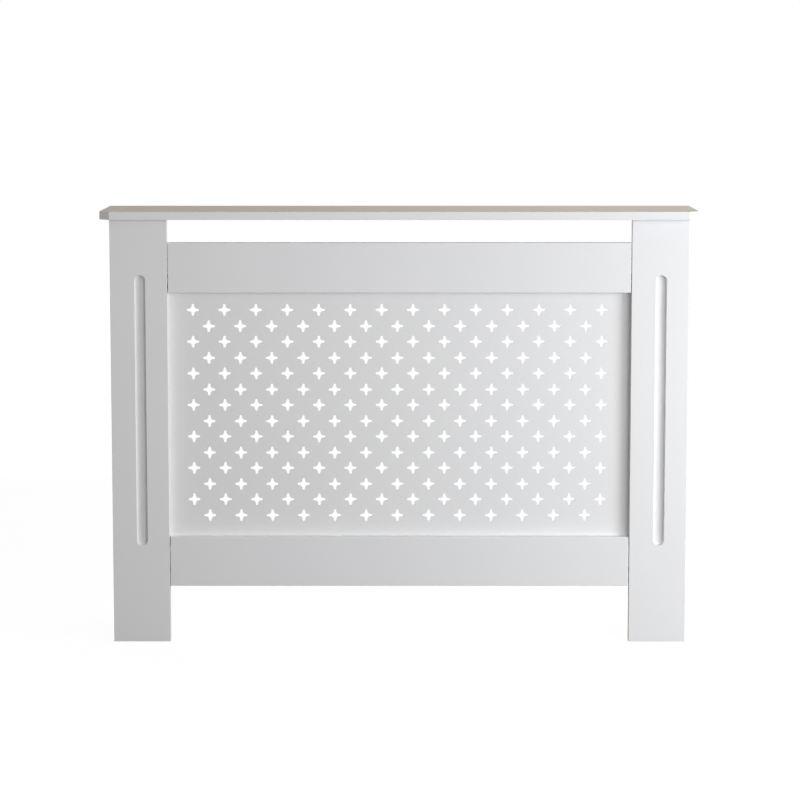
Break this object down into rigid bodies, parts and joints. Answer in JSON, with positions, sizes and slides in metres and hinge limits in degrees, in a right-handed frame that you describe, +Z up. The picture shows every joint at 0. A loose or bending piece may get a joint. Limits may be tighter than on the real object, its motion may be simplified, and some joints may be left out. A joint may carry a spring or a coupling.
{
  "type": "radiator cover cabinet",
  "caption": "Three-sided painted board cabinet that stands over a wall radiator, with a pierced cross-pattern grille, fluted legs and a shelf on top.",
  "frame": {"origin": "on the floor, under the middle of the shelf", "axes": "+X to the cabinet's right as seen from the room, +Y at the wall behind it, +Z up"},
  "size_m": [1.115, 0.19, 0.815],
  "materials": {
    "white_paint": "satin white paint on fibreboard",
    "taupe_paint": "satin taupe paint on fibreboard, white at the edges",
    "beech": "raw fluted beech",
    "zinc": "dull die-cast zinc",
    "steel": "bright zinc-plated steel"
  },
  "bodies": {
    "root": {"top_shelf": "taupe_paint", "left_leg": "white_paint", "left_side_panel": "white_paint", "right_leg": "white_paint", "right_side_panel": "white_paint", "upper_rail": "white_paint", "lower_rail": "white_paint", "grille_panel": "white_paint", "upper_rail_left_cam_lock": "zinc", "upper_rail_left_cam_bolt": "steel", "upper_rail_left_dowel": "beech", "upper_rail_right_cam_lock": "zinc", "upper_rail_right_cam_bolt": "steel", "upper_rail_right_dowel": "beech", "lower_rail_left_cam_lock": "zinc", "lower_rail_left_cam_bolt": "steel", "lower_rail_left_dowel": "beech", "lower_rail_right_cam_lock": "zinc", "lower_rail_right_cam_bolt": "steel", "lower_rail_right_dowel": "beech", "left_leg_lower_cam_lock": "zinc", "left_leg_lower_cam_bolt": "steel", "left_leg_lower_dowel": "beech", "left_leg_upper_cam_lock": "zinc", "left_leg_upper_cam_bolt": "steel", "left_leg_upper_dowel": "beech", "left_shelf_cam_lock": "zinc", "left_shelf_cam_bolt": "steel", "left_shelf_panel_dowel": "beech", "left_shelf_leg_dowel": "beech", "left_wall_bracket": "steel", "left_bracket_screw": "steel", "right_leg_lower_cam_lock": "zinc", "right_leg_lower_cam_bolt": "steel", "right_leg_lower_dowel": "beech", "right_leg_upper_cam_lock": "zinc", "right_leg_upper_cam_bolt": "steel", "right_leg_upper_dowel": "beech", "right_shelf_cam_lock": "zinc", "right_shelf_cam_bolt": "steel", "right_shelf_panel_dowel": "beech", "right_shelf_leg_dowel": "beech", "right_wall_bracket": "steel", "right_bracket_screw": "steel", "upper_grille_screw_1": "steel", "upper_grille_screw_2": "steel", "upper_grille_screw_3": "steel", "lower_grille_screw_1": "steel", "lower_grille_screw_2": "steel", "lower_grille_screw_3": "steel", "left_grille_screw_1": "steel", "left_grille_screw_2": "steel", "right_grille_screw_1": "steel", "right_grille_screw_2": "steel"}
  },
  "joints": []
}
